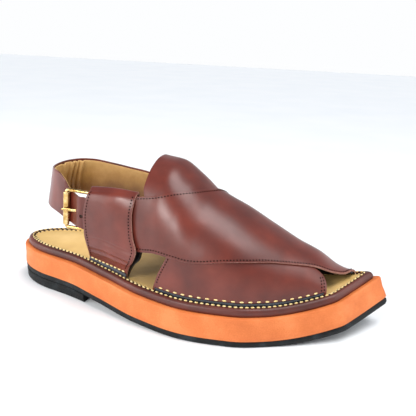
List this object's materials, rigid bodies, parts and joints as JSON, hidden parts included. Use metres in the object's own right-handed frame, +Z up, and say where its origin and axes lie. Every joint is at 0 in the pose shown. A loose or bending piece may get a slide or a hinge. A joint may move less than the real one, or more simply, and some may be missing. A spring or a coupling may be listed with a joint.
{
  "type": "peshawari chappal",
  "caption": "Right peshawari chappal: crossed leather straps with a standing tongue, a buckled heel strap held in side loops, a stitched footbed, a foam midsole and a low heel.",
  "frame": {"origin": "on the floor, under the middle of the sole's own box", "axes": "+X from the heel to the toe, +Y towards the inner (medial) side, +Z up"},
  "size_m": [0.2925, 0.0996, 0.1133],
  "materials": {
    "black_rubber": "matt, finely textured",
    "orange_foam": "matt closed-cell foam with smooth cut sides",
    "brown_leather": "semi-gloss, finely grained",
    "tan_leather": "matt, smooth",
    "brass": "polished"
  },
  "bodies": {
    "root": {"heel": "black_rubber", "outsole": "black_rubber", "midsole": "orange_foam", "welt": "brown_leather", "insole": "tan_leather", "upper": "brown_leather", "keeper_lateral": "brown_leather", "keeper_medial": "brown_leather", "heel_strap": "brown_leather", "buckle_frame": "brass", "buckle_roller": "brass", "buckle_prong": "brass"}
  },
  "joints": []
}
